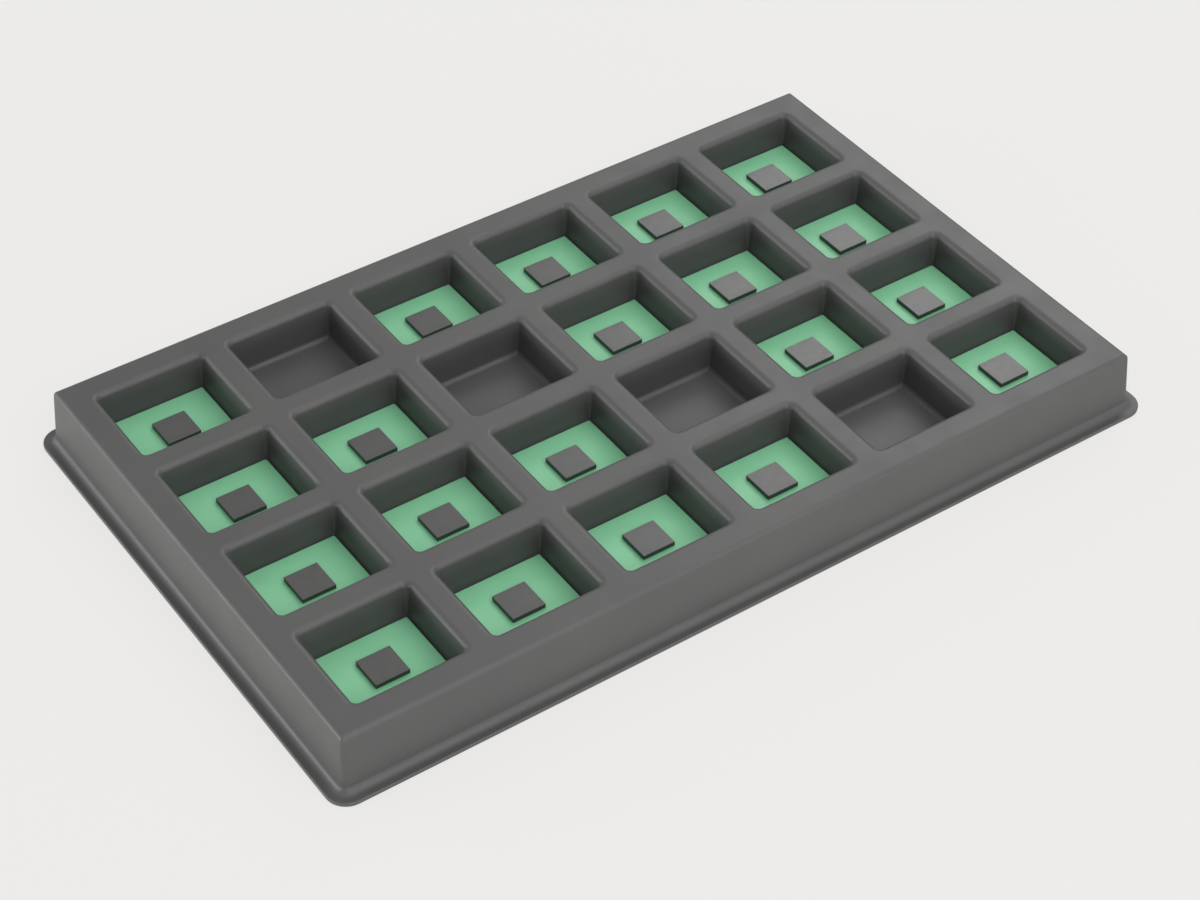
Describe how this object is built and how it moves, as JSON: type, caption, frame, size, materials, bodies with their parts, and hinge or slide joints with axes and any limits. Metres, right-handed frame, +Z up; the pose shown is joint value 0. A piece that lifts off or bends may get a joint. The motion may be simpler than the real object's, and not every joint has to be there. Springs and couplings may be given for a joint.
{
  "type": "electronics handling tray",
  "caption": "Low rectangular thermoformed tray with a grid of square-cornered, drafted pockets that hold small green circuit boards, on a skirt with a flat flange.",
  "frame": {"origin": "centre of the tray on the surface it stands on, at the underside of its flange", "axes": "+X along the rows of pockets, the tray's long side; +Y from the front row to the back row; +Z up"},
  "size_m": [0.3176, 0.199, 0.0229],
  "materials": {
    "tray": "dark grey static-dissipative sheet, satin",
    "board": "green solder mask on glass-epoxy laminate, satin",
    "chip": "dark grey moulded epoxy, fine matt"
  },
  "bodies": {
    "root": {"tray": "tray", "board_r1c1": "board", "board_r1c2": "board", "board_r1c3": "board", "board_r1c4": "board", "board_r1c6": "board", "board_r2c1": "board", "board_r2c2": "board", "board_r2c3": "board", "board_r2c5": "board", "board_r2c6": "board", "board_r3c1": "board", "board_r3c2": "board", "board_r3c4": "board", "board_r3c5": "board", "board_r3c6": "board", "board_r4c1": "board", "board_r4c3": "board", "board_r4c4": "board", "board_r4c5": "board", "board_r4c6": "board", "chip_r1c1": "chip", "chip_r1c2": "chip", "chip_r1c3": "chip", "chip_r1c4": "chip", "chip_r1c6": "chip", "chip_r2c1": "chip", "chip_r2c2": "chip", "chip_r2c3": "chip", "chip_r2c5": "chip", "chip_r2c6": "chip", "chip_r3c1": "chip", "chip_r3c2": "chip", "chip_r3c4": "chip", "chip_r3c5": "chip", "chip_r3c6": "chip", "chip_r4c1": "chip", "chip_r4c3": "chip", "chip_r4c4": "chip", "chip_r4c5": "chip", "chip_r4c6": "chip"}
  },
  "joints": []
}
